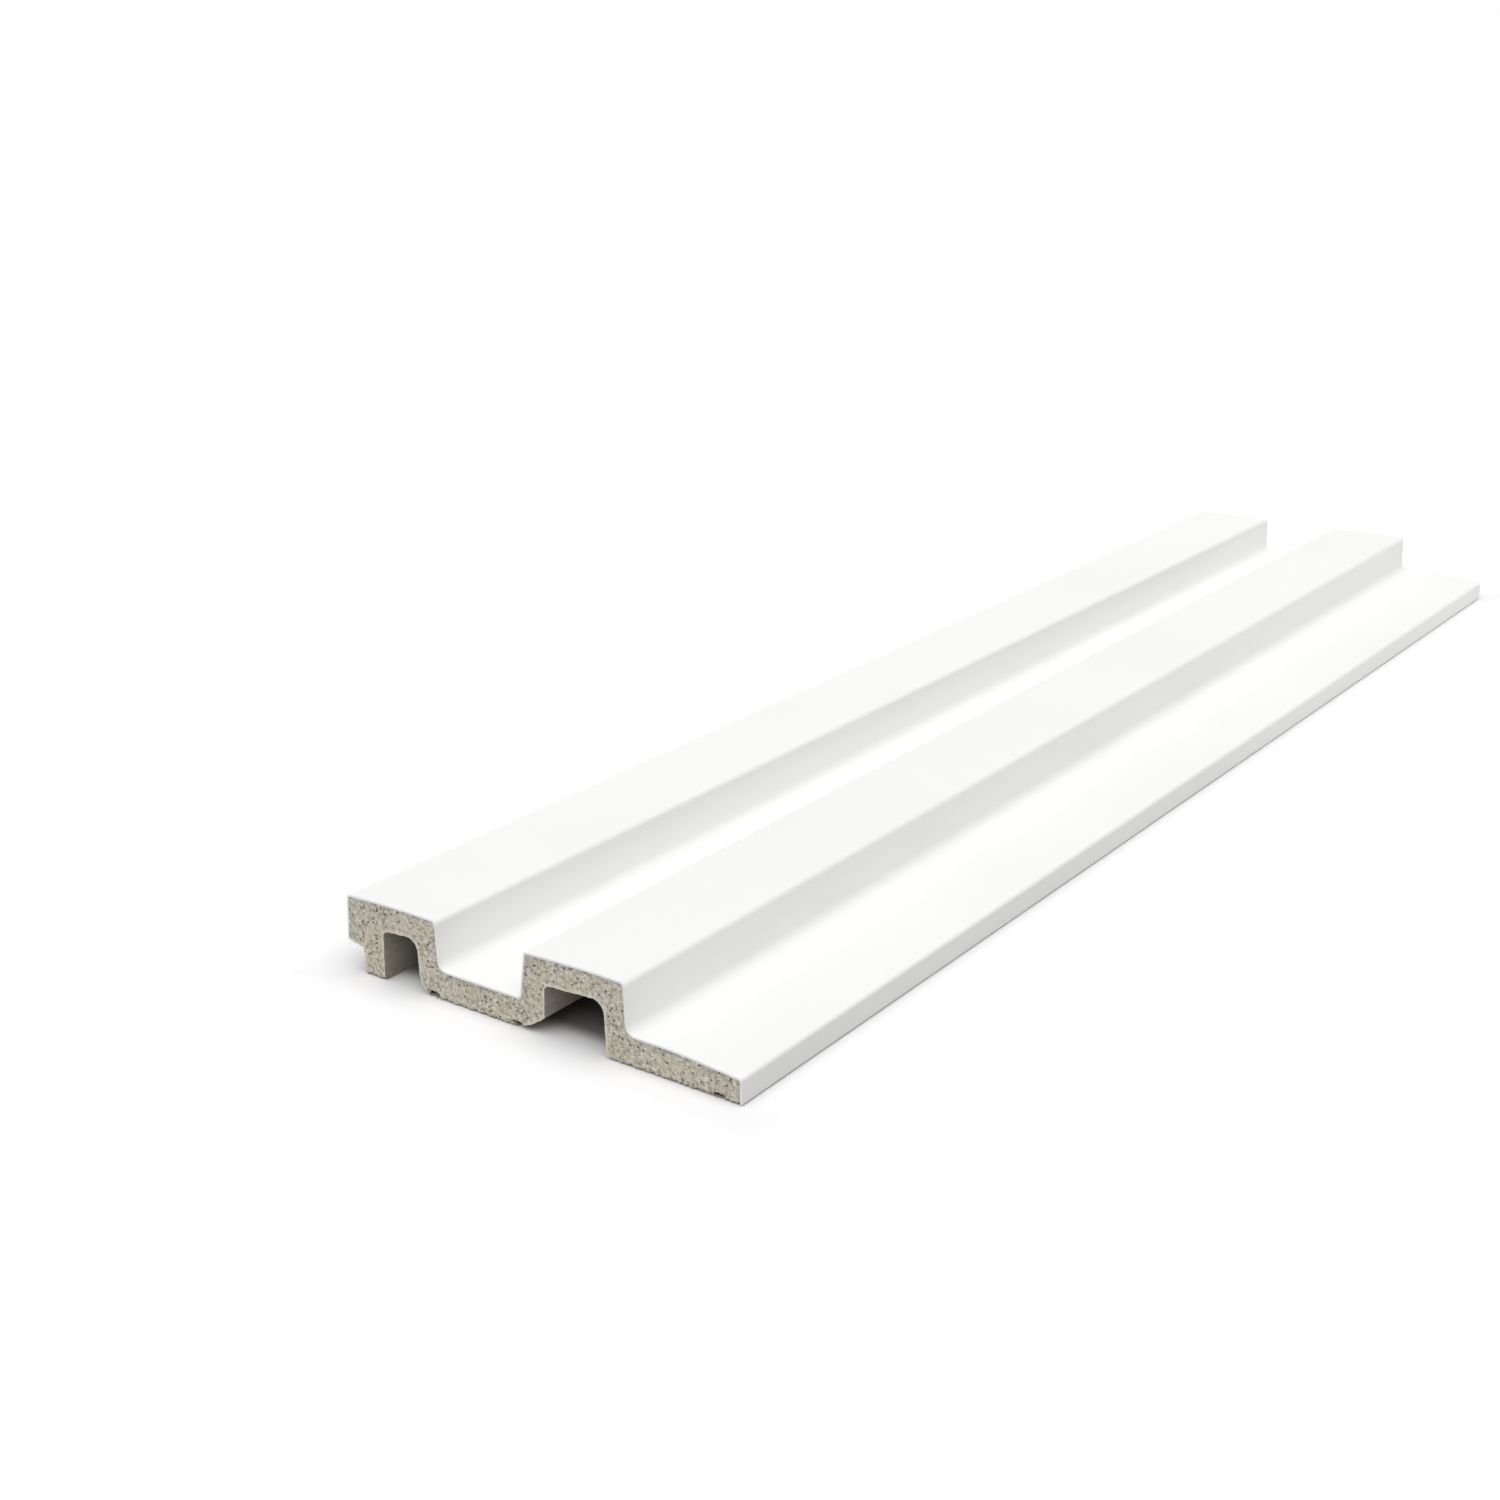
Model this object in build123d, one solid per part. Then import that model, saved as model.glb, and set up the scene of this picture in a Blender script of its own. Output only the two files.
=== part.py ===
from build123d import *
import os

# A slat wall panel: one extruded length of foamed plastic with two ribs on its
# front, a hollow channel behind each rib, a tongue along the right edge, and a
# rebate under the left edge that takes the tongue of the next panel.
#
# X runs across the panel, from the rebate to the tongue. Y runs along it. Z is
# up, out of the front. The origin is the middle of the glued back, on the floor.
# All sizes are in millimetres.

# The panel as a whole
length = 500.0
thickness = 21.0
rib_count = 2
rib_pitch = 58.5
tongue_overlap = 5.0

# Ribs, seen in the section. Each side leans in by its draft from foot to top.
rib_top_width = 30.2
outer_side_draft = 0.8
groove_side_draft = 1.9
right_side_draft = 0.4

# The top of a rib is crowned: it falls away to both sides of a high line
crown_line_shift = 5.0
crown_left_drop = 0.6
crown_right_drop = 0.15

# Rounded corners of the front
left_edge_radius = 0.8
right_edge_radius = 1.4
left_foot_radius = 1.0
right_foot_radius = 2.2

# The web between the ribs, and the tongue
web_thickness = 8.1
tongue_lead_in = 18.0
tongue_tip_thickness = 6.7
tongue_tip_radius = 1.0

# The rebate that takes the next panel's tongue
joint_end_gap = 0.5
joint_top_gap = 0.4
rebate_mouth_flare = 0.6
rebate_corner_radius = 0.8
mouth_edge_radius = 0.6

# Channels in the back, one behind each rib
channel_ceiling_left = 13.5
channel_ceiling_right = 14.5
channel_draft = 0.5
channel_left_radius = 1.6
channel_right_radius = 3.4
edge_rib_foot = 6.8
edge_channel_width = 12.4
inner_rib_foot = 7.4
inner_channel_width = 18.8

# The feet beside the channels are eased where they meet the wall
edge_easing_width = 2.6
edge_easing_height = 3.5
inner_easing_width = 1.6
inner_easing_height = 1.1
relief_width = 10.4
relief_height = 4.9
relief_bow = 0.8

# How far a cutting shape reaches past the face that it cuts
cut_margin = 5.0

# Places across the panel that follow from the sizes above
panel_width = rib_count * rib_pitch + tongue_overlap
left_face = -panel_width / 2
tongue_end = panel_width / 2
first_rib_left = left_face + outer_side_draft
rebate_depth = tongue_overlap + joint_end_gap
lead_in_slope = (web_thickness - tongue_tip_thickness) / tongue_lead_in
rebate_height = tongue_tip_thickness + joint_top_gap
mouth_height = rebate_height + lead_in_slope * rebate_depth + rebate_mouth_flare


def rib_left(index):
    """The left end of a rib's top."""
    return first_rib_left + index * rib_pitch


def rib_right(index):
    """The right end of a rib's top."""
    return rib_left(index) + rib_top_width


def crown(index):
    """The top of a rib: two arcs that meet level on the high line."""
    high_line = (rib_left(index) + rib_right(index)) / 2 + crown_line_shift
    high_point = (high_line, thickness)
    left_end = (rib_left(index), thickness - crown_left_drop)
    right_end = (rib_right(index), thickness - crown_right_drop)
    falling_left = TangentArc(high_point, left_end, tangent=(-1, 0))
    falling_right = TangentArc(high_point, right_end, tangent=(1, 0))
    return [falling_left, falling_right]


def rounded(sketch, points, radius):
    """Round the corners of a sketch that lie at the given points."""
    corners = [sketch.vertices().sort_by_distance(point)[0] for point in points]
    return fillet(corners, radius)


def front_profile():
    """The section without its channels and rebate: ribs, webs and tongue."""
    outline = []
    left_tops = []
    right_tops = []
    left_feet = []
    right_feet = []
    pen = (left_face, 0)
    for index in range(rib_count):
        draft = groove_side_draft if index else outer_side_draft
        foot_height = web_thickness if index else mouth_height
        left_foot = (rib_left(index) - draft, foot_height)
        left_top = (rib_left(index), thickness - crown_left_drop)
        right_top = (rib_right(index), thickness - crown_right_drop)
        right_foot = (rib_right(index) + right_side_draft, web_thickness)
        outline.append(Line(pen, left_foot))
        outline.append(Line(left_foot, left_top))
        if index:
            left_feet.append(left_foot)
        outline += crown(index)
        outline.append(Line(right_top, right_foot))
        left_tops.append(left_top)
        right_tops.append(right_top)
        right_feet.append(right_foot)
        pen = right_foot
    lead_in_start = (tongue_end - tongue_lead_in, web_thickness)
    tip_top = (tongue_end, tongue_tip_thickness)
    outline.append(Polyline(pen, lead_in_start, tip_top, (tongue_end, 0), (left_face, 0)))
    profile = make_face(outline)
    profile = rounded(profile, left_tops, left_edge_radius)
    profile = rounded(profile, right_tops, right_edge_radius)
    if left_feet:
        profile = rounded(profile, left_feet, left_foot_radius)
    profile = rounded(profile, right_feet, right_foot_radius)
    return rounded(profile, [tip_top], tongue_tip_radius)


def channel(left_wall, right_wall):
    """The hollow behind a rib, open at the back, with a rising ceiling."""
    ceiling_left = (left_wall + channel_draft, channel_ceiling_left)
    ceiling_right = (right_wall - channel_draft, channel_ceiling_right)
    outline = Polyline(
        (left_wall, -cut_margin),
        (left_wall, 0),
        ceiling_left,
        ceiling_right,
        (right_wall, 0),
        (right_wall, -cut_margin),
        close=True,
    )
    hollow = make_face(outline)
    hollow = rounded(hollow, [ceiling_left], channel_left_radius)
    return rounded(hollow, [ceiling_right], channel_right_radius)


def wall_offset(height):
    """How far a channel's wall has leant in at a height above the back."""
    return channel_draft * height / channel_ceiling_left


def eased_foot(right_wall, width, height):
    """The bevel on the foot at the right of a channel."""
    edge = right_wall - wall_offset(height)
    outline = Polyline(
        (edge, height),
        (right_wall + width, 0),
        (right_wall + width, -cut_margin),
        (edge, -cut_margin),
        close=True,
    )
    return make_face(outline)


def relieved_foot(left_wall):
    """The wide, rounded heel of the foot at the left of the inner channel."""
    edge = left_wall + wall_offset(relief_height)
    outer = (left_wall - relief_width, 0)
    inner = (edge, relief_height)
    curve = SagittaArc(outer, inner, -relief_bow)
    sides = Polyline(inner, (edge, -cut_margin), (outer[0], -cut_margin), outer)
    return make_face([curve, sides])


def rebate():
    """The step under the left edge, parallel to the tongue's lead-in."""
    wall = left_face + rebate_depth
    mouth = left_face - cut_margin
    inner_corner = (wall, rebate_height)
    mouth_slope = (mouth_height - rebate_height) / rebate_depth
    mouth_top = mouth_height + mouth_slope * cut_margin
    outline = Polyline(
        (wall, -cut_margin),
        inner_corner,
        (mouth, mouth_top),
        (mouth, -cut_margin),
        close=True,
    )
    return rounded(make_face(outline), [inner_corner], rebate_corner_radius)


def section():
    """The whole cut section of the panel."""
    shape = front_profile() - rebate()
    shape = rounded(shape, [(left_face, mouth_height)], mouth_edge_radius)
    for index in range(rib_count):
        if index:
            left_wall = rib_left(index) - groove_side_draft + inner_rib_foot
            right_wall = left_wall + inner_channel_width
            shape -= relieved_foot(left_wall)
            shape -= eased_foot(right_wall, inner_easing_width, inner_easing_height)
        else:
            left_wall = left_face + rebate_depth + edge_rib_foot
            right_wall = left_wall + edge_channel_width
            shape -= eased_foot(right_wall, edge_easing_width, edge_easing_height)
        shape -= channel(left_wall, right_wall)
    return shape


slat_panel = extrude(Plane.XZ * section(), amount=length / 2, both=True)

os.makedirs("parts", exist_ok=True)
export_step(slat_panel, "parts/slat_panel.step")
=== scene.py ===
"""Slat wall panel: bare foam body, bonded white film and a plain studio."""

import math

import bmesh
import bpy
import numpy as np
from bpy.props import FloatProperty, FloatVectorProperty, IntProperty, PointerProperty
from mathutils import Matrix, Vector
from mathutils.geometry import delaunay_2d_cdt


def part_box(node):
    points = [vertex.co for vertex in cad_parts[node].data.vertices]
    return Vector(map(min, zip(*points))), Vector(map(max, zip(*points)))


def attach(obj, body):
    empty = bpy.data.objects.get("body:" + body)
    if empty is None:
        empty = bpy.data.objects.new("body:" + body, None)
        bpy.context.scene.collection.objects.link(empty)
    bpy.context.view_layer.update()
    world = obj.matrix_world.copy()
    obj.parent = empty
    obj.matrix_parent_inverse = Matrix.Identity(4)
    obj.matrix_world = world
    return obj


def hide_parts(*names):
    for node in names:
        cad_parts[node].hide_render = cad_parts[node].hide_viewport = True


bl_info = {
    "name": "Slat wall panel",
    "version": (1, 0, 0),
    "blender": (4, 5, 0),
    "location": "View3D > Sidebar > Slat panel",
    "description": "Builds a foamed slat wall panel with its bonded white film",
    "category": "Object",
}

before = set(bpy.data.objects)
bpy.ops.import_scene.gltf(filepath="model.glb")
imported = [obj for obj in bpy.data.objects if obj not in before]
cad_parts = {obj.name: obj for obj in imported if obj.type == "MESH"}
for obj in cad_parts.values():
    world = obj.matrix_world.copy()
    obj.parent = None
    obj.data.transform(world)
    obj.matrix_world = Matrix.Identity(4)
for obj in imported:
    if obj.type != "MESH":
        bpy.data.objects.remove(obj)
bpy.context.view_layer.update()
PANEL_LOW, PANEL_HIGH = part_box("slat_panel")

# Names shared by the pieces and their materials
NODE = "slat_panel"
BODY = "root"
SAWN = "sawn"
FROM_FILM = "from_film"
FROM_SKIN = "from_skin"

# One millimetre, in the scene's metres
MM = 0.001

# Colours with the alpha that a colour socket needs
WHITE = (1.0, 1.0, 1.0, 1.0)
BLACK = (0.0, 0.0, 0.0, 1.0)

# Two points closer together than this are one point, and a point this close to an end is on it
SAME_POINT = 0.001 * MM
END_MARGIN = 0.01 * MM

# Steps along the panel from a sawn end inwards, then the number of equal steps between
END_STEPS = (0.3 * MM, 0.4 * MM, 0.6 * MM, 1.2 * MM, 2.5 * MM, 5.0 * MM)
MIDDLE_STEPS = 6

# Chips broken out of the sawn ends: middle across, middle up, half width, half height
CHIPS = (
    (-32.3 * MM, 0.9 * MM, 2.2 * MM, 0.9 * MM),
    (-4.9 * MM, 1.0 * MM, 1.9 * MM, 0.7 * MM),
    (54.7 * MM, 0.75 * MM, 1.8 * MM, 0.6 * MM),
)

# Sawn ends: spacing of their unevenness, crumbs, tears and the chips' ragged rims
UNEVEN_SPACING = 2.2 * MM
CRUMB_SPACING = 1.6 * MM
TEAR_SPACING = 1.25 * MM
RIM_SPACING = 0.9 * MM

# A chip's rim: how far it strays from its ellipse, and where it falls off. 1 is on the ellipse.
RIM_SWING = 0.9
RIM_FALL = (0.8, 1.1)

# How closely the layers behind a chip are pressed together
CHIP_PRESSING = 0.98

# The narrowest share of the bevel's width, and the noise values between which crumbs widen it
LEAST_BEVEL = 0.4
CRUMB_RANGE = (0.35, 0.7)

# The noise's gain for the tears
TEAR_GAIN = 4

# How deep the tears reach in from the end, and how far they stay away from the film
TEAR_DEPTH = 1.2 * MM
FILM_MARGIN = (0.2 * MM, 0.8 * MM)

# Layers of the foam, in distance from the film and from the bare skin, and the depth into a chip
# over which its painted shade deepens
FILM_LAYER = (0.3 * MM, 2.0 * MM)
SKIN_LAYER = (0.3 * MM, 1.0 * MM)
CHIP_SHADE_DEPTH = (0.5 * MM, 1.5 * MM)

# Painted shade along the lower edge of a sawn end, where it meets the floor: its height above the
# floor, its spacing and its swing
LOW_EDGE_SHADE_HEIGHT = (0.7 * MM, 1.4 * MM)
LOW_EDGE_SHADE_SPACING = 0.7 * MM
LOW_EDGE_SHADE_SWING = 1.0 * MM

# How far the seed moves the pores in each direction
SEED_SHIFT = (0.013, 0.007, 0.011)

# Spacing of the textures of the foam
CLOUD_SPACING = 5.0 * MM
TINT_SPACING = 1.8 * MM
GRAIN_SPACING = 1.1 * MM
LAYER_SPACING = 0.8 * MM
PALE_SPACING = 1.35 * MM
PALE_RADIUS = 0.38 * MM
STREAK_SPACING = 1.2 * MM
SPECK_SPACING = 3.4 * MM
SPECK_RADIUS = 0.4 * MM

# Shifts that keep textures of like spacing from lining up
TINT_SHIFT = (0.2, 0.4, 0.1)
PALE_SHIFT = (0.3, 0.1, 0.2)

# The grain is stronger in some patches: its least strength, and what the strongest patch adds
GRAIN_LEAST = 0.6
GRAIN_SWING = 0.7

# The noise values between which each layer of a look fades in
FADE = {
    "grain strength": (0.35, 0.65),
    "warm foam": (0.4, 0.6),
    "clouds": (0.4, 0.7),
    "layers": (0.55, 0.3),
    "light grain": (0.50, 0.72),
    "dark grain": (0.50, 0.30),
    "streaks": (0.3, 0.8),
    "drawn grain": (0.5, 0.8),
    "film clouds": (0.3, 0.8),
    "beneath": (0.55, 0.85),
}

# How much each layer of a look covers what lies under it
COVER = {
    "rim": 0.7,
    "clouds": 0.3,
    "layers": 0.4,
    "light grain": 0.6,
    "dark grain": 0.56,
    "pale cells": 0.9,
    "skin": 0.62,
    "pores": 0.9,
    "low_edge_shade": 0.7,
    "chip_shade": 0.7,
    "streaks": 0.4,
    "drawn grain": 0.2,
    "specks": 0.5,
    "film clouds": 0.35,
    "beneath": 0.25,
    "film edge highlight": 0.8,
}

# How far each texture stands out of the surface or sinks in, as a share of the bumps' depth
HEIGHT = {
    "grain": 0.5,
    "pores": 0.5,
    "streaks": 0.35,
    "drawn grain": 0.12,
    "specks": 0.3,
    "lines": 0.5,
    "beneath": 0.5,
}

# Textures of the film, and the brightness of its shaded patches
LINE_SPACING = 1.6 * MM
BENEATH_SPACING = 1.8 * MM
SHADE_SPACING = 45.0 * MM
FILM_SHADE = 0.94

# Roughness as the surfaces left the die, what adds to it, the foam's shine and the bumps' depth
FOAM_ROUGHNESS = 0.78
FOAM_SAWN_ROUGHER = 0.17
FOAM_SHINE = 0.3
FOAM_BUMP = 0.25 * MM
FILM_ROUGHNESS = 0.42
FILM_SAWN_ROUGHER = 0.3
FILM_CLOUDS_ROUGHER = 0.12
FILM_BUMP = 0.03 * MM

# The film is cut cleaner than the foam: its share of the saw's roughness
FILM_SAW_SHARE = 0.5

# Marks drawn out along the panel: the smaller the middle factor, the longer the marks
LINE_STRETCH = (1.0, 0.004, 1.0)
STREAK_STRETCH = (1.0, 0.03, 1.0)
SPECK_STRETCH = (1.0, 0.5, 1.0)

# Edges that turn by more than this look sharp
SHARP_ANGLE = math.radians(32)


class PanelSizes(bpy.types.PropertyGroup):
    """Sizes of the film, the foam's cells and the sawn edges"""

    film_thickness: FloatProperty(
        name="Film thickness",
        description="Thickness of the white film bonded to the front",
        default=0.5 * MM,
        unit="LENGTH",
    )
    film_return: FloatProperty(
        name="Film return",
        description="How far the film turns under the left edge, into the rebate",
        default=1.8 * MM,
        unit="LENGTH",
    )
    film_lift: FloatProperty(
        name="Film lift",
        description="Height above the back at which the film ends on the tongue",
        default=0.45 * MM,
        unit="LENGTH",
    )
    cut_spacing: FloatProperty(
        name="Cut spacing",
        description="Distance between mesh points on a sawn end",
        default=0.26 * MM,
        unit="LENGTH",
    )
    pore_spacing: FloatProperty(
        name="Pore spacing",
        description="Distance between the foam's open pores",
        default=1.3 * MM,
        unit="LENGTH",
    )
    pore_radius: FloatProperty(
        name="Pore radius",
        description="Radius of an open pore",
        default=0.42 * MM,
        unit="LENGTH",
    )
    pore_depth: FloatProperty(
        name="Pore depth",
        description="How far a pore is open into a sawn end",
        default=0.4 * MM,
        unit="LENGTH",
    )
    saw_roughness: FloatProperty(
        name="Saw roughness",
        description="How far the saw left the end uneven",
        default=0.12 * MM,
        unit="LENGTH",
    )
    edge_wear: FloatProperty(
        name="Edge wear",
        description="Width of the crumbled bevel along the sawn lower edge",
        default=0.9 * MM,
        unit="LENGTH",
    )
    torn_edge: FloatProperty(
        name="Torn edge",
        description="How far the saw tore the bare edges of an end out of line",
        default=0.16 * MM,
        unit="LENGTH",
    )
    chip_depth: FloatProperty(
        name="Chip depth",
        description="How far the chips reach in from a sawn end",
        default=2.0 * MM,
        unit="LENGTH",
    )
    seed: IntProperty(
        name="Seed",
        description="Fixed seed of everything that is random",
        default=7,
        min=0,
    )


class PanelColours(bpy.types.PropertyGroup):
    """Colours of the panel"""

    film: FloatVectorProperty(
        name="Film",
        description="White film on the front",
        subtype="COLOR",
        size=3,
        default=(0.945, 0.945, 0.92),
    )
    foam: FloatVectorProperty(
        name="Foam",
        description="Bare foam on a sawn end",
        subtype="COLOR",
        size=3,
        default=(0.667, 0.616, 0.53),
    )
    foam_warm: FloatVectorProperty(
        name="Warm foam",
        description="Yellower patches of the bare foam",
        subtype="COLOR",
        size=3,
        default=(0.685, 0.63, 0.491),
    )
    foam_rim: FloatVectorProperty(
        name="Foam rim",
        description="Denser, greyer foam next to the film",
        subtype="COLOR",
        size=3,
        default=(0.53, 0.505, 0.447),
    )
    pore: FloatVectorProperty(
        name="Pore",
        description="Shaded inside of an open pore",
        subtype="COLOR",
        size=3,
        default=(0.20, 0.17, 0.13),
    )
    grain: FloatVectorProperty(
        name="Grain",
        description="Pale grain in the foam",
        subtype="COLOR",
        size=3,
        default=(0.93, 0.88, 0.76),
    )
    skin: FloatVectorProperty(
        name="Skin",
        description="Paler, denser foam close to the walls of the channels",
        subtype="COLOR",
        size=3,
        default=(0.90, 0.85, 0.73),
    )
    back: FloatVectorProperty(
        name="Back",
        description="Smooth foam of the back and the channels, as it left the die",
        subtype="COLOR",
        size=3,
        default=(0.37, 0.34, 0.28),
    )


# Node trees


class Amount:
    """A number in a node tree. Sums with it add Math nodes."""

    def __init__(self, nodes, socket):
        self.nodes = nodes
        self.socket = socket

    def math(self, operation, *values):
        node = self.nodes.add("ShaderNodeMath", {"operation": operation}, dict(enumerate(values)))
        return Amount(self.nodes, node.outputs[0])

    def __add__(self, other):
        return self.math("ADD", self, other)

    def __radd__(self, other):
        return self.math("ADD", other, self)

    def __sub__(self, other):
        return self.math("SUBTRACT", self, other)

    def __rsub__(self, other):
        return self.math("SUBTRACT", other, self)

    def __mul__(self, other):
        return self.math("MULTIPLY", self, other)

    def __truediv__(self, other):
        return self.math("DIVIDE", self, other)

    def __gt__(self, other):
        return self.math("GREATER_THAN", self, other)

    def above(self, other):
        """The larger of two numbers."""
        return self.math("MAXIMUM", self, other)

    def below(self, other):
        """The smaller of two numbers."""
        return self.math("MINIMUM", self, other)

    def size(self):
        """The number without its sign."""
        return self.math("ABSOLUTE", self)

    def sign(self):
        """1 where the number is positive and -1 where it is negative."""
        return self.math("SIGN", self)


class Nodes:
    """Adds nodes to one node tree."""

    def __init__(self, tree):
        self.tree = tree

    def add(self, kind, settings=None, sockets=None):
        """A node of a kind, with its settings made first, then its sockets set or linked."""
        node = self.tree.nodes.new(kind)
        for name, value in (settings or {}).items():
            setattr(node, name, value)
        for key, value in (sockets or {}).items():
            if isinstance(value, Amount):
                value = value.socket
            if isinstance(value, bpy.types.NodeSocket):
                self.tree.links.new(value, node.inputs[key])
            else:
                node.inputs[key].default_value = value
        return node

    def amount(self, kind, settings=None, sockets=None, output=0):
        """The number that comes out of a new node."""
        return Amount(self, self.add(kind, settings, sockets).outputs[output])

    def step(self, value, low, high):
        """0 below low, 1 above high and smooth between."""
        sockets = {"Value": value, "From Min": low, "From Max": high}
        return self.amount("ShaderNodeMapRange", {"interpolation_type": "SMOOTHSTEP"}, sockets)

    def noise(self, place, spacing, detail=2.0, output=0):
        """Soft random values from 0 to 1 whose patches are one spacing wide."""
        sockets = {"Vector": place, "Scale": 1 / spacing, "Detail": detail}
        return self.amount("ShaderNodeTexNoise", None, sockets, output)

    def spots(self, place, spacing, radius):
        """1 inside scattered balls of a radius, 0 outside, cut where the surface is."""
        sockets = {"Vector": place, "Scale": 1 / spacing}
        away = self.amount("ShaderNodeTexVoronoi", None, sockets)
        edge = radius / spacing
        return 1 - self.step(away, edge * 0.55, edge)

    def stretched(self, place, factors):
        """A place whose coordinates are multiplied by three factors."""
        settings = {"operation": "MULTIPLY"}
        return self.add("ShaderNodeVectorMath", settings, {0: place, 1: factors}).outputs[0]

    def shifted(self, place, offset):
        """A place moved by three distances."""
        settings = {"operation": "ADD"}
        return self.add("ShaderNodeVectorMath", settings, {0: place, 1: offset}).outputs[0]

    def blend(self, share, first, second):
        """A colour between two colours."""
        settings = {"data_type": "RGBA", "clamp_factor": True}
        node = self.add("ShaderNodeMix", settings, {0: share, 6: first, 7: second})
        return node.outputs[2]


def opaque(colour):
    """A colour property with the alpha that a colour socket needs."""
    return (*colour, 1.0)


def pores(nodes, place, sizes):
    """The foam's open pores: the same balls dent the mesh and darken its colour."""
    seeded = nodes.shifted(place, tuple(sizes.seed * shift for shift in SEED_SHIFT))
    return nodes.spots(seeded, sizes.pore_spacing, sizes.pore_radius)


# The panel's section, read from the frame


def at_near_end(face):
    """Whether a face of the solid lies on its near end, towards -Y."""
    return face.normal.y < -0.99


def section_outline():
    """The closed outline of the panel's section as (x, z) points, anticlockwise from the front."""
    mesh = bmesh.new()
    mesh.from_mesh(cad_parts[NODE].data)
    bmesh.ops.remove_doubles(mesh, verts=mesh.verts, dist=SAME_POINT)
    mesh.normal_update()
    after = {}
    for face in filter(at_near_end, mesh.faces):
        for loop in face.loops:
            if not at_near_end(loop.link_loop_radial_next.face):
                after[loop.vert.index] = loop.link_loop_next.vert.index
    first = min(after)
    order = [first]
    while after[order[-1]] != first:
        order.append(after[order[-1]])
    mesh.verts.ensure_lookup_table()
    outline = np.array([(mesh.verts[i].co.x, mesh.verts[i].co.z) for i in order])
    mesh.free()
    return outline


def turns(outline):
    """The angle by which a closed outline turns at each point."""
    before = outline - np.roll(outline, 1, axis=0)
    behind = np.roll(outline, -1, axis=0) - outline
    cross = before[:, 0] * behind[:, 1] - before[:, 1] * behind[:, 0]
    return np.arctan2(cross, (before * behind).sum(axis=1))


def eased(outline, rounds=2, low=math.radians(1.5), high=math.radians(50)):
    """A closed outline whose round stretches have finer steps. Sharp corners stay."""
    for _ in range(rounds):
        bend = np.abs(turns(outline))
        points = []
        for index, point in enumerate(outline):
            if not low < bend[index] < high:
                points.append(point)
                continue
            back = outline[index - 1] - point
            ahead = outline[(index + 1) % len(outline)] - point
            reach = 0.25 * min(np.linalg.norm(back), np.linalg.norm(ahead))
            points.append(point + back / np.linalg.norm(back) * reach)
            points.append(point + ahead / np.linalg.norm(ahead) * reach)
        outline = np.array(points)
    return outline


def divided(path, spacing):
    """An open path with extra points, so that no step is longer than the spacing."""
    points = []
    for start, end in zip(path[:-1], path[1:]):
        count = max(1, math.ceil(np.linalg.norm(end - start) / spacing))
        shares = np.arange(count)[:, None] / count
        points.extend(start + shares * (end - start))
    points.append(path[-1])
    return np.array(points)


def film_path(outline, sizes):
    """The outline's stretch that the film covers, and the rest of the outline.

    Anticlockwise, the film runs from just above the tongue's lower edge over the front
    to the rebate, where it ends a short way in from the mouth.
    """
    # The tongue's foot is the lowest point far right
    x, z = outline.T
    tongue_foot = np.argmin(z - x)
    outline = np.roll(outline, -tongue_foot, axis=0)

    # The mouth is far left. In the lower half height counts a little, to find the upper end of
    # its rounded edge. In the upper half it doesn't, so that the rib's top is left out.
    x, z = outline.T
    low_half = z < (PANEL_LOW.z + PANEL_HIGH.z) / 2
    mouth = np.argmin(x - z * 0.1 * low_half)

    # The film's end lies between two points of the outline
    last = mouth + 1
    while outline[last, 0] - outline[mouth, 0] < sizes.film_return:
        last += 1
    step = outline[last] - outline[last - 1]
    wanted = outline[mouth, 0] + sizes.film_return
    end = outline[last - 1] + step * (wanted - outline[last - 1, 0]) / step[0]
    start = outline[0] + (0.0, sizes.film_lift)
    covered = np.vstack([start, outline[1:last], end])
    inner_foot = outline[0] - (sizes.film_thickness, 0.0)
    bare = np.vstack([end, outline[last:], inner_foot])
    return covered, bare


def inset(path, depth):
    """An open path moved to its left, into the material, by a depth."""
    along = np.diff(path, axis=0)
    along /= np.linalg.norm(along, axis=1)[:, None]
    left = np.stack([-along[:, 1], along[:, 0]], axis=1)
    first = np.vstack([left[:1], left])
    second = np.vstack([left, left[-1:]])
    corner = first + second
    corner /= (1 + (first * second).sum(axis=1))[:, None]
    return path + corner * depth


def inside(points, outline):
    """Which points lie inside a closed outline, by counting crossings."""
    x = points[:, :1]
    z = points[:, 1:]
    end = np.roll(outline, -1, axis=0)
    rise = end[:, 1] - outline[:, 1]
    rise[rise == 0] = 1
    crossing = outline[:, 0] + (z - outline[:, 1]) / rise * (end[:, 0] - outline[:, 0])
    spans = (outline[:, 1] > z) != (end[:, 1] > z)
    return (spans & (x < crossing)).sum(axis=1) % 2 == 1


def distance_to(points, path):
    """Each point's distance to an open path."""
    start = path[:-1]
    along = np.diff(path, axis=0)
    share = ((points[:, None] - start) * along).sum(axis=2) / (along**2).sum(axis=1)
    nearest = start + np.clip(share, 0, 1)[..., None] * along
    return np.linalg.norm(points[:, None] - nearest, axis=2).min(axis=1)


def scattered(outline, spacing, seed):
    """Points spread over the inside of an outline on a shaken grid."""
    low = outline.min(axis=0)
    high = outline.max(axis=0)
    across = np.arange(low[0], high[0], spacing)
    up = np.arange(low[1], high[1], spacing * math.sqrt(0.75))
    grid = np.stack(np.meshgrid(across, up), axis=-1)
    grid[1::2, :, 0] += spacing / 2
    points = grid.reshape(-1, 2)
    points += np.random.default_rng(seed).uniform(-0.2, 0.2, points.shape) * spacing
    points = points[inside(points, outline)]
    closed = np.vstack([outline, outline[:1]])
    return points[distance_to(points, closed) > spacing * 0.5]


# Meshes of the sawn faces, flat in the plane y = 0 and facing along +Y


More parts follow.
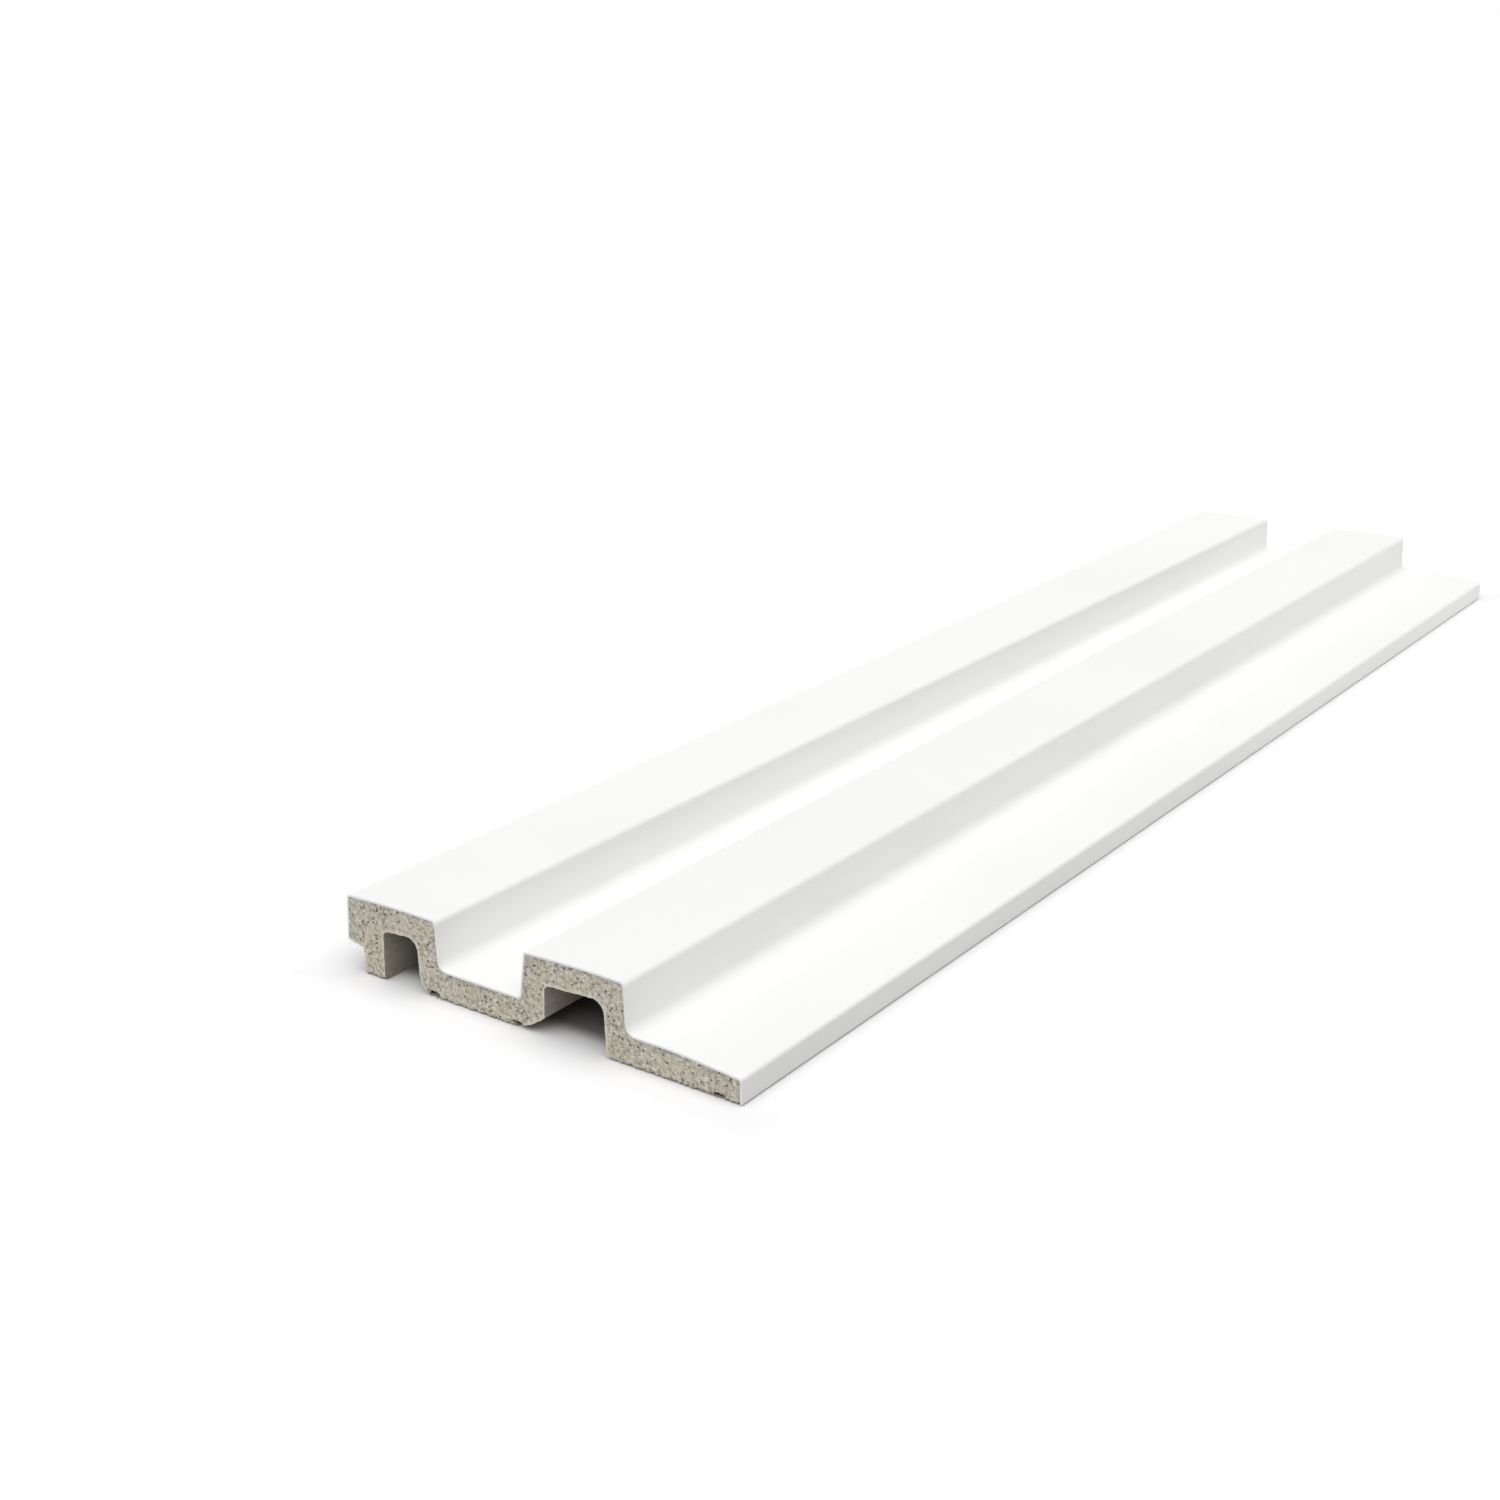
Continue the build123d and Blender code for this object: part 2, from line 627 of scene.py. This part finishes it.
def flat_mesh(name, points, faces, values=None):
    """A flat mesh in the XZ plane, with named values at its points."""
    mesh = bpy.data.meshes.new(name)
    mesh.from_pydata([(x, 0.0, z) for x, z in points], [], faces)
    for label, amounts in (values or {}).items():
        mesh.attributes.new(label, "FLOAT", "POINT").data.foreach_set("value", amounts)
    mesh.update()
    return mesh


def foam_face(covered, bare, sizes):
    """The sawn face of the foam, with points close enough together for its pores."""
    under_film = inset(covered, sizes.film_thickness)
    coarse = np.vstack([under_film, bare])
    ring = divided(np.vstack([coarse, coarse[:1]]), sizes.cut_spacing)[:-1]
    points = np.vstack([ring, scattered(coarse, sizes.cut_spacing, sizes.seed)]) / MM
    found = delaunay_2d_cdt([Vector(p) for p in points], [], [range(len(ring))], 1, 1e-5)
    corners = np.array([tuple(p) for p in found[0]]) * MM
    faces = [tuple(reversed(face)) for face in found[2]]
    values = {FROM_FILM: distance_to(corners, under_film), FROM_SKIN: distance_to(corners, bare)}
    return flat_mesh("foam_face", corners, faces, values)


def film_face(covered, sizes):
    """The sawn edge of the film, as a strip of squares."""
    outer = divided(covered, sizes.cut_spacing * 2)
    inner = inset(outer, sizes.film_thickness)
    count = len(outer)
    faces = [(i, i + count, i + count + 1, i + 1) for i in range(count - 1)]
    return flat_mesh("film_face", np.vstack([outer, inner]), faces)


# Geometry Nodes: a length of stock drawn out from its sawn face


def new_tree(name, inputs):
    """An empty geometry tree with named inputs, and a Nodes for it."""
    tree = bpy.data.node_groups.new(name, "GeometryNodeTree")
    tree.interface.new_socket("Geometry", in_out="INPUT", socket_type="NodeSocketGeometry")
    tree.interface.new_socket("Geometry", in_out="OUTPUT", socket_type="NodeSocketGeometry")
    for label, kind in inputs.items():
        tree.interface.new_socket(label, in_out="INPUT", socket_type=kind)
    return tree, Nodes(tree)


def split(nodes, vector):
    """The three coordinates of a vector."""
    parts = nodes.add("ShaderNodeSeparateXYZ", None, {0: vector})
    return [Amount(nodes, socket) for socket in parts.outputs]


def joined(nodes, x, y, z):
    """A vector made of three coordinates."""
    return nodes.add("ShaderNodeCombineXYZ", None, {0: x, 1: y, 2: z}).outputs[0]


def marked(nodes, geometry, selection):
    """Geometry whose selected faces are marked as sawn."""
    settings = {"data_type": "FLOAT", "domain": "FACE"}
    sockets = {"Geometry": geometry, "Selection": selection, "Name": SAWN, "Value": 1.0}
    return nodes.add("GeometryNodeStoreNamedAttribute", settings, sockets).outputs[0]


def drawn_out(nodes, face, length):
    """A closed solid between a sawn face and its copy at the far end."""
    along = joined(nodes, 0.0, 1.0, 0.0)
    middle = (length - 2 * sum(END_STEPS)) / MIDDLE_STEPS
    steps = [*END_STEPS, *[middle] * MIDDLE_STEPS, *reversed(END_STEPS)]
    geometry = face
    top = True
    for distance in steps:
        sockets = {"Mesh": geometry, "Selection": top, "Offset": along, "Offset Scale": distance}
        sockets["Individual"] = False
        pull = nodes.add("GeometryNodeExtrudeMesh", {"mode": "FACES"}, sockets)
        geometry = pull.outputs["Mesh"]
        top = pull.outputs["Top"]
    walls = marked(nodes, geometry, top)
    turned = nodes.add("GeometryNodeFlipFaces", None, {"Mesh": face}).outputs[0]
    near = marked(nodes, turned, True)
    whole = nodes.add("GeometryNodeJoinGeometry").inputs[0]
    nodes.tree.links.new(walls, whole)
    nodes.tree.links.new(near, whole)
    sockets = {"Geometry": whole.node.outputs[0], "Distance": SAME_POINT}
    return nodes.add("GeometryNodeMergeByDistance", None, sockets).outputs[0]


def chipped(nodes, x, z, place):
    """1 where a chip is broken out of a sawn end, 0 elsewhere."""
    rim = nodes.noise(nodes.stretched(place, (1.0, 0.0, 1.0)), RIM_SPACING)
    ragged = rim * RIM_SWING - RIM_SWING / 2
    share = 0.0
    for middle_x, middle_z, half_width, half_height in CHIPS:
        across = (x - middle_x) / half_width
        up = (z - middle_z) / half_height
        reach = across * across + up * up + ragged
        share = 1 - nodes.step(reach, *RIM_FALL) + share
    return share.below(1.0)


def stock_tree(sizes):
    """A tree that draws a sawn face out into stock and roughens its sawn ends."""
    inputs = {
        "Length": "NodeSocketFloat",
        "Pore Depth": "NodeSocketFloat",
        "Saw Roughness": "NodeSocketFloat",
        "Edge Wear": "NodeSocketFloat",
        "Torn Edge": "NodeSocketFloat",
        "Chip Depth": "NodeSocketFloat",
        "Material": "NodeSocketMaterial",
    }
    tree, nodes = new_tree("drawn_stock", inputs)
    given = nodes.add("NodeGroupInput").outputs
    length = Amount(nodes, given["Length"])
    start = joined(nodes, 0.0, length * -0.5, 0.0)
    sockets = {"Geometry": given["Geometry"], "Offset": start}
    face = nodes.add("GeometryNodeSetPosition", None, sockets).outputs[0]
    solid = drawn_out(nodes, face, length)

    place = nodes.add("GeometryNodeInputPosition").outputs[0]
    x, y, z = split(nodes, place)
    from_end = length * 0.5 - y.size()
    at_end = 1 - (from_end > END_MARGIN)
    from_skin = nodes.amount("GeometryNodeInputNamedAttribute", None, {"Name": FROM_SKIN})
    open_pores = pores(nodes, place, sizes) * nodes.step(from_skin, *SKIN_LAYER)
    dent = open_pores * Amount(nodes, given["Pore Depth"])
    uneven = nodes.noise(place, UNEVEN_SPACING, 4.0) * Amount(nodes, given["Saw Roughness"])
    chip = chipped(nodes, x, z, place) * Amount(nodes, given["Chip Depth"])
    behind_chip = (chip - from_end * CHIP_PRESSING).above(0.0)
    inwards = ((dent + uneven) * at_end + behind_chip) * y.sign() * -1

    crumbs = nodes.noise(nodes.stretched(place, (1.0, 0.0, 0.0)), CRUMB_SPACING, 3.0)
    widening = nodes.step(crumbs, *CRUMB_RANGE)
    bevel = (LEAST_BEVEL + widening) * Amount(nodes, given["Edge Wear"])
    broken = ((bevel - from_end - z) * 0.5).above(0.0)

    from_film = nodes.amount("GeometryNodeInputNamedAttribute", None, {"Name": FROM_FILM})
    across, _, up = split(nodes, nodes.noise(place, TEAR_SPACING, output="Color"))
    torn = nodes.step(from_film, *FILM_MARGIN) * (1 - nodes.step(from_end, 0.0, TEAR_DEPTH))
    torn = torn * Amount(nodes, given["Torn Edge"]) * TEAR_GAIN
    aside = (across - 0.5) * torn
    above_floor = ((up - 0.5) * torn + broken).above(z * -1)
    offset = joined(nodes, aside, inwards - broken * y.sign(), above_floor)
    rough = nodes.add("GeometryNodeSetPosition", None, {"Geometry": solid, "Offset": offset})

    real = nodes.add("GeometryNodeRealizeInstances", None, {0: rough.outputs[0]}).outputs[0]
    sockets = {"Geometry": real, "Material": given["Material"]}
    finish = nodes.add("GeometryNodeSetMaterial", None, sockets)
    nodes.add("NodeGroupOutput", None, {0: finish.outputs[0]})
    return tree


def grown(name, mesh, tree, values):
    """A plain mesh object: a mesh run through a geometry tree with named values."""
    source = bpy.data.objects.new(name + "_source", mesh)
    bpy.context.scene.collection.objects.link(source)
    modifier = source.modifiers.new("tree", "NODES")
    modifier.node_group = tree
    for item in tree.interface.items_tree:
        if item.name in values:
            modifier[item.identifier] = values[item.name]
    bpy.context.view_layer.update()
    evaluated = source.evaluated_get(bpy.context.evaluated_depsgraph_get())
    result = bpy.data.meshes.new_from_object(evaluated)
    bpy.data.objects.remove(source)
    bpy.data.node_groups.remove(tree)
    result.name = name
    result.shade_smooth()
    result.set_sharp_from_angle(angle=SHARP_ANGLE)
    piece = bpy.data.objects.new(name, result)
    bpy.context.scene.collection.objects.link(piece)
    return piece


# Materials


def new_material(name):
    """A material with an empty tree, and its nodes, place and output."""
    material = bpy.data.materials.new(name)
    material.use_nodes = True
    material.node_tree.nodes.clear()
    nodes = Nodes(material.node_tree)
    place = nodes.add("ShaderNodeTexCoord").outputs["Object"]
    return material, nodes, place


def finished(nodes, sockets):
    """The tree's shader and output, with the shader's sockets set or linked."""
    shader = nodes.add("ShaderNodeBsdfPrincipled", None, sockets)
    nodes.add("ShaderNodeOutputMaterial", None, {"Surface": shader.outputs[0]})


def bumped(nodes, height, distance):
    """A surface normal tilted by a height from 0 to 1 that stands for a distance."""
    sockets = {"Height": height, "Distance": distance, "Strength": 1.0}
    return nodes.add("ShaderNodeBump", None, sockets).outputs[0]


def foam_material(colours, sizes):
    """Bare foam: porous where it is sawn, smooth and streaked where it left the die, with painted
    shade in the chips and along the lower sawn edge.
    """
    material, nodes, place = new_material("bare_foam")
    sawn = nodes.amount("ShaderNodeAttribute", {"attribute_name": SAWN}, None, "Fac")
    film = nodes.amount("ShaderNodeAttribute", {"attribute_name": FROM_FILM}, None, "Fac")
    skin = nodes.amount("ShaderNodeAttribute", {"attribute_name": FROM_SKIN}, None, "Fac")
    cloudy = nodes.noise(place, CLOUD_SPACING, 3.0)
    tinted = nodes.noise(nodes.shifted(place, TINT_SHIFT), TINT_SPACING)
    grainy = nodes.noise(place, GRAIN_SPACING)
    layered = nodes.noise(joined(nodes, film, 0.0, 0.0), LAYER_SPACING, 1.0)
    holes = pores(nodes, place, sizes)
    pale = nodes.spots(nodes.shifted(place, PALE_SHIFT), PALE_SPACING, PALE_RADIUS)
    _, y, z = split(nodes, place)
    # Painted shade: sawn foam pushed in by a chip is darkened towards black, as a shaded hollow
    chip_shade = nodes.step(PANEL_HIGH.y - y.size(), *CHIP_SHADE_DEPTH)
    # Painted shade: the sawn foam is darkened along its ragged lower edge, where it meets the
    # floor
    low_edge_ragged = nodes.noise(place, LOW_EDGE_SHADE_SPACING) * LOW_EDGE_SHADE_SWING
    low_edge_shade = 1 - nodes.step(z + low_edge_ragged, *LOW_EDGE_SHADE_HEIGHT)

    foam = opaque(colours.foam)
    rim = opaque(colours.foam_rim)
    grain = opaque(colours.grain)
    pore = opaque(colours.pore)

    near_film = 1 - nodes.step(film, *FILM_LAYER)
    near_skin = 1 - nodes.step(skin, *SKIN_LAYER)
    strength = nodes.step(cloudy, *FADE["grain strength"]) * GRAIN_SWING + GRAIN_LEAST
    light_grain = nodes.step(grainy, *FADE["light grain"]) * strength
    dark_grain = nodes.step(grainy, *FADE["dark grain"]) * strength
    warm = nodes.step(tinted, *FADE["warm foam"])
    clouds = nodes.step(cloudy, *FADE["clouds"])
    layers = nodes.step(layered, *FADE["layers"])
    tone = nodes.blend(warm, foam, opaque(colours.foam_warm))
    tone = nodes.blend(near_film * COVER["rim"], tone, rim)
    tone = nodes.blend(clouds * COVER["clouds"], tone, rim)
    tone = nodes.blend(layers * COVER["layers"], tone, rim)
    tone = nodes.blend(light_grain * COVER["light grain"], tone, grain)
    tone = nodes.blend(dark_grain * COVER["dark grain"], tone, pore)
    tone = nodes.blend(pale * COVER["pale cells"], tone, grain)
    tone = nodes.blend(near_skin * COVER["skin"], tone, opaque(colours.skin))
    tone = nodes.blend(holes * (1 - near_skin) * COVER["pores"], tone, pore)
    # Painted shade along the lower sawn edge
    tone = nodes.blend(low_edge_shade * COVER["low_edge_shade"], tone, pore)
    # Painted shade in the hollows of the chips
    tone = nodes.blend(chip_shade * COVER["chip_shade"], tone, BLACK)

    streaked = nodes.noise(nodes.stretched(place, STREAK_STRETCH), STREAK_SPACING, 3.0)
    specks = nodes.spots(nodes.stretched(place, SPECK_STRETCH), SPECK_SPACING, SPECK_RADIUS)
    streaks = nodes.step(streaked, *FADE["streaks"])
    drawn_grain = nodes.step(grainy, *FADE["drawn grain"])
    drawn = nodes.blend(streaks * COVER["streaks"], opaque(colours.back), rim)
    drawn = nodes.blend(drawn_grain * COVER["drawn grain"], drawn, grain)
    drawn = nodes.blend(specks * COVER["specks"], drawn, pore)
    colour = nodes.blend(sawn, drawn, tone)

    sawn_height = grainy * HEIGHT["grain"] - holes * HEIGHT["pores"]
    drawn_height = streaked * HEIGHT["streaks"] + grainy * HEIGHT["drawn grain"]
    drawn_height = drawn_height - specks * HEIGHT["specks"]
    height = sawn_height * sawn + drawn_height * (1 - sawn)
    sockets = {
        "Base Color": colour,
        "Roughness": FOAM_ROUGHNESS + sawn * FOAM_SAWN_ROUGHER,
        "Specular IOR Level": FOAM_SHINE,
        "Normal": bumped(nodes, height, FOAM_BUMP),
    }
    finished(nodes, sockets)
    return material


def film_material(colours):
    """Smooth white film with faint draw lines, through which the foam shows a little, and a
    painted highlight on its sawn edges.
    """
    material, nodes, place = new_material("white_film")
    sawn = nodes.amount("ShaderNodeAttribute", {"attribute_name": SAWN}, None, "Fac")
    lines = nodes.noise(nodes.stretched(place, LINE_STRETCH), LINE_SPACING, 3.0)
    beneath = nodes.noise(place, BENEATH_SPACING, 3.0)
    cloudy = nodes.noise(place, SHADE_SPACING)
    clouds = nodes.step(cloudy, *FADE["film clouds"])
    foam_patches = nodes.step(beneath, *FADE["beneath"])
    shade = opaque(FILM_SHADE * c for c in colours.film)
    colour = nodes.blend(clouds * COVER["film clouds"], opaque(colours.film), shade)
    colour = nodes.blend(foam_patches * COVER["beneath"], colour, shade)
    # Painted highlight: the film's sawn edge is whitened for the light it catches
    colour = nodes.blend(sawn * COVER["film edge highlight"], colour, WHITE)
    height = lines * HEIGHT["lines"] + beneath * HEIGHT["beneath"]
    sockets = {
        "Base Color": colour,
        "Roughness": FILM_ROUGHNESS + cloudy * FILM_CLOUDS_ROUGHER + sawn * FILM_SAWN_ROUGHER,
        "Normal": bumped(nodes, height, FILM_BUMP),
    }
    finished(nodes, sockets)
    return material


# Pieces


def panel_outline(sizes):
    """The film's stretch of the section's outline, and the bare rest of it."""
    return film_path(eased(section_outline()), sizes)


class SLAT_OT_foam_body(bpy.types.Operator):
    """Make the bare foam body of the panel, from one sawn end to the other"""

    bl_idname = "slat_panel.foam_body"
    bl_label = "Foam body"

    def execute(self, context):
        sizes = context.scene.slat_panel_sizes
        covered, bare = panel_outline(sizes)
        values = {
            "Length": PANEL_HIGH.y - PANEL_LOW.y,
            "Pore Depth": sizes.pore_depth,
            "Saw Roughness": sizes.saw_roughness,
            "Edge Wear": sizes.edge_wear,
            "Torn Edge": sizes.torn_edge,
            "Chip Depth": sizes.chip_depth,
            "Material": foam_material(context.scene.slat_panel_colours, sizes),
        }
        piece = grown("foam_body", foam_face(covered, bare, sizes), stock_tree(sizes), values)
        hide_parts(NODE)
        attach(piece, BODY)
        return {"FINISHED"}


class SLAT_OT_front_film(bpy.types.Operator):
    """Make the white film that covers the front, from the rebate to the tongue"""

    bl_idname = "slat_panel.front_film"
    bl_label = "Front film"

    def execute(self, context):
        sizes = context.scene.slat_panel_sizes
        covered, _ = panel_outline(sizes)
        values = {
            "Length": PANEL_HIGH.y - PANEL_LOW.y,
            "Saw Roughness": sizes.saw_roughness * FILM_SAW_SHARE,
            "Material": film_material(context.scene.slat_panel_colours),
        }
        piece = grown("front_film", film_face(covered, sizes), stock_tree(sizes), values)
        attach(piece, BODY)
        return {"FINISHED"}


# Stage

# The camera, from the photograph's view of the panel
CAMERA_PLACE = Vector((0.3002, -0.5716, 0.2258))
CAMERA_PITCH = math.radians(19.634)
CAMERA_YAW = math.radians(36.268)
CAMERA_ROLL = math.radians(-0.621)
CAMERA_LENS = 49.79
SENSOR_WIDTH = 36.0
NEAREST_SEEN = 0.01

# Light: the sky and the key together light a level face at a strength of 1
SKY = (0.30, 0.30, 0.31, 1.0)
KEY_STRENGTH = 2.28
KEY_FROM = Vector((0.12, -0.25, 0.96))
KEY_SPREAD = math.radians(80)

# The floor: half its width, and its distance below the panel
FLOOR_REACH = 30.0
FLOOR_GAP = 0.02 * MM

# The floor as the light meets it, at the panel's near end and at its far end
FLOOR_NEAR = (0.61, 0.61, 0.61, 1.0)
FLOOR_FAR = (0.88, 0.88, 0.88, 1.0)

# Painted shadow on the floor as the camera sees it: dark deep under the panel, and faint close to
# the panel's edge
FLOOR_SHADE_UNDER = (0.32, 0.31, 0.30, 1.0)
FLOOR_SHADE_BESIDE = (0.95, 0.95, 0.95, 1.0)

# Where one look of the floor gives way to the next, from the painted shadow under and beside the
# panel to white, in distance outside the panel's outline
SHADE_UNDER_TO_BESIDE = (-9.6 * MM, -3.8 * MM)
SHADE_BESIDE_TO_WHITE = (2.0 * MM, 16.0 * MM)
NEAR_GLOW = (8.0 * MM, 60.0 * MM)
FAR_GLOW = (30.0 * MM, 300.0 * MM)
NEAR_GLOW_SHARE = 0.2


def background_rays(nodes):
    """1 for rays that show the background: seen, mirrored or through glass."""
    rays = nodes.add("ShaderNodeLightPath").outputs
    seen = Amount(nodes, rays["Is Camera Ray"])
    mirrored = Amount(nodes, rays["Is Glossy Ray"])
    return seen.above(mirrored).above(Amount(nodes, rays["Is Transmission Ray"]))


def light_world():
    """A plain pale sky that shows as white."""
    world = bpy.data.worlds.new("plain_sky")
    world.use_nodes = True
    world.node_tree.nodes.clear()
    nodes = Nodes(world.node_tree)
    colour = nodes.blend(background_rays(nodes), SKY, WHITE)
    sky = nodes.add("ShaderNodeBackground", None, {"Color": colour})
    nodes.add("ShaderNodeOutputWorld", None, {"Surface": sky.outputs[0]})
    bpy.context.scene.world = world


def lay_floor():
    """A wide pale floor just under the panel.

    It shows as white where light falls on it freely and keeps the panel's shadow, with painted
    shadow added under the panel and close beside it.
    """
    mesh = bpy.data.meshes.new("floor")
    low = PANEL_LOW.z - FLOOR_GAP
    signs = ((-1, -1), (1, -1), (1, 1), (-1, 1))
    corners = [(x * FLOOR_REACH, y * FLOOR_REACH, low) for x, y in signs]
    mesh.from_pydata(corners, [], [(0, 1, 2, 3)])
    material, nodes, place = new_material("pale_floor")
    shows = background_rays(nodes)
    x, y, _ = split(nodes, place)
    beside = (x.size() - PANEL_HIGH.x).above(y.size() - PANEL_HIGH.y)
    glow = nodes.step(beside, *NEAR_GLOW) * NEAR_GLOW_SHARE
    glow = glow + nodes.step(beside, *FAR_GLOW) * (1 - NEAR_GLOW_SHARE)
    # Painted shadow: the floor's colour, seen by the camera only, is darker under the panel and
    # close beside it
    seen = nodes.blend(nodes.step(beside, *SHADE_UNDER_TO_BESIDE), FLOOR_SHADE_UNDER, FLOOR_SHADE_BESIDE)
    seen = nodes.blend(nodes.step(beside, *SHADE_BESIDE_TO_WHITE), seen, WHITE)
    lighting = nodes.blend(nodes.step(y, PANEL_LOW.y, PANEL_HIGH.y), FLOOR_NEAR, FLOOR_FAR)
    sockets = {
        "Base Color": nodes.blend(shows, lighting, seen),
        "Roughness": 1.0,
        "Specular IOR Level": 0.0,
        "Emission Color": nodes.blend(shows * glow, BLACK, WHITE),
        "Emission Strength": 1.0,
    }
    finished(nodes, sockets)
    mesh.materials.append(material)
    floor = bpy.data.objects.new("floor", mesh)
    bpy.context.scene.collection.objects.link(floor)


def hang_key_light():
    """One broad, soft, even light from high in front of the sawn end."""
    data = bpy.data.lights.new("key_light", "SUN")
    data.angle = KEY_SPREAD
    data.energy = KEY_STRENGTH
    light = bpy.data.objects.new("key_light", data)
    light.rotation_euler = KEY_FROM.to_track_quat("Z", "Y").to_euler()
    bpy.context.scene.collection.objects.link(light)


def place_camera():
    """A camera that sees the panel as the photograph does."""
    level = math.cos(CAMERA_PITCH)
    east = math.cos(CAMERA_YAW)
    north = math.sin(CAMERA_YAW)
    ahead = Vector((-north * level, east * level, -math.sin(CAMERA_PITCH)))
    right = Vector((east, north, 0.0))
    turned = Matrix.Rotation(-CAMERA_ROLL, 3, ahead) @ right
    up = turned.cross(ahead)
    data = bpy.data.cameras.new("camera")
    data.lens = CAMERA_LENS
    data.sensor_width = SENSOR_WIDTH
    data.clip_start = NEAREST_SEEN
    camera = bpy.data.objects.new("camera", data)
    axes = Matrix((turned, up, -ahead)).transposed()
    camera.matrix_world = Matrix.Translation(CAMERA_PLACE) @ axes.to_4x4()
    bpy.context.scene.collection.objects.link(camera)
    bpy.context.scene.camera = camera


class SLAT_OT_stage(bpy.types.Operator):
    """Set up the pale floor, the soft light and the camera"""

    bl_idname = "slat_panel.stage"
    bl_label = "Stage"

    def execute(self, context):
        context.scene.view_settings.view_transform = "Standard"
        light_world()
        lay_floor()
        hang_key_light()
        place_camera()
        return {"FINISHED"}


class SLAT_PT_panel(bpy.types.Panel):
    """Sizes, colours and pieces of the slat wall panel"""

    bl_idname = "SLAT_PT_panel"
    bl_label = "Slat wall panel"
    bl_space_type = "VIEW_3D"
    bl_region_type = "UI"
    bl_category = "Slat panel"

    def draw(self, context):
        for group in (context.scene.slat_panel_sizes, context.scene.slat_panel_colours):
            box = self.layout.box()
            for name in group.__annotations__:
                box.prop(group, name)
        for operator in OPERATORS:
            self.layout.operator(operator.bl_idname)


OPERATORS = (SLAT_OT_stage, SLAT_OT_foam_body, SLAT_OT_front_film)
CLASSES = (PanelSizes, PanelColours, *OPERATORS, SLAT_PT_panel)


def register():
    for cls in CLASSES:
        bpy.utils.register_class(cls)
    bpy.types.Scene.slat_panel_sizes = PointerProperty(type=PanelSizes)
    bpy.types.Scene.slat_panel_colours = PointerProperty(type=PanelColours)


def unregister():
    del bpy.types.Scene.slat_panel_colours
    del bpy.types.Scene.slat_panel_sizes
    for cls in reversed(CLASSES):
        bpy.utils.unregister_class(cls)


def main():
    register()
    bpy.ops.slat_panel.stage()
    bpy.ops.slat_panel.foam_body()
    bpy.ops.slat_panel.front_film()


if __name__ == "__main__":
    main()
